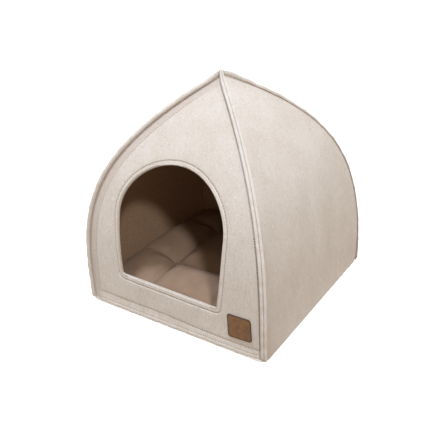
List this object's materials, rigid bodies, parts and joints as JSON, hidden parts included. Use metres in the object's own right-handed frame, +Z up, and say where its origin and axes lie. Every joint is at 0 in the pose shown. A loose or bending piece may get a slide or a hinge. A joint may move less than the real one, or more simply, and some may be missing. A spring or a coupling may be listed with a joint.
{
  "type": "cat tent",
  "caption": "Felt pet tent with bowed panels that meet at a peak, standing corner seams, an arched doorway, a sewn-in floor and a tufted cushion.",
  "frame": {"origin": "on the ground at the middle of the base", "axes": "+Z up to the peak, -Y out of the doorway, +X to the right seen from the doorway side"},
  "size_m": [0.3973, 0.3973, 0.4221],
  "materials": {
    "felt": "matt heathered beige felt with short stray fibres",
    "cotton": "soft matt beige brushed cloth over filling",
    "leather": "smooth brown leather with darker pressed edges"
  },
  "bodies": {
    "root": {"panel_front": "felt", "panel_right": "felt", "panel_back": "felt", "panel_left": "felt", "floor": "felt", "cushion": "cotton", "patch": "leather"}
  },
  "joints": []
}
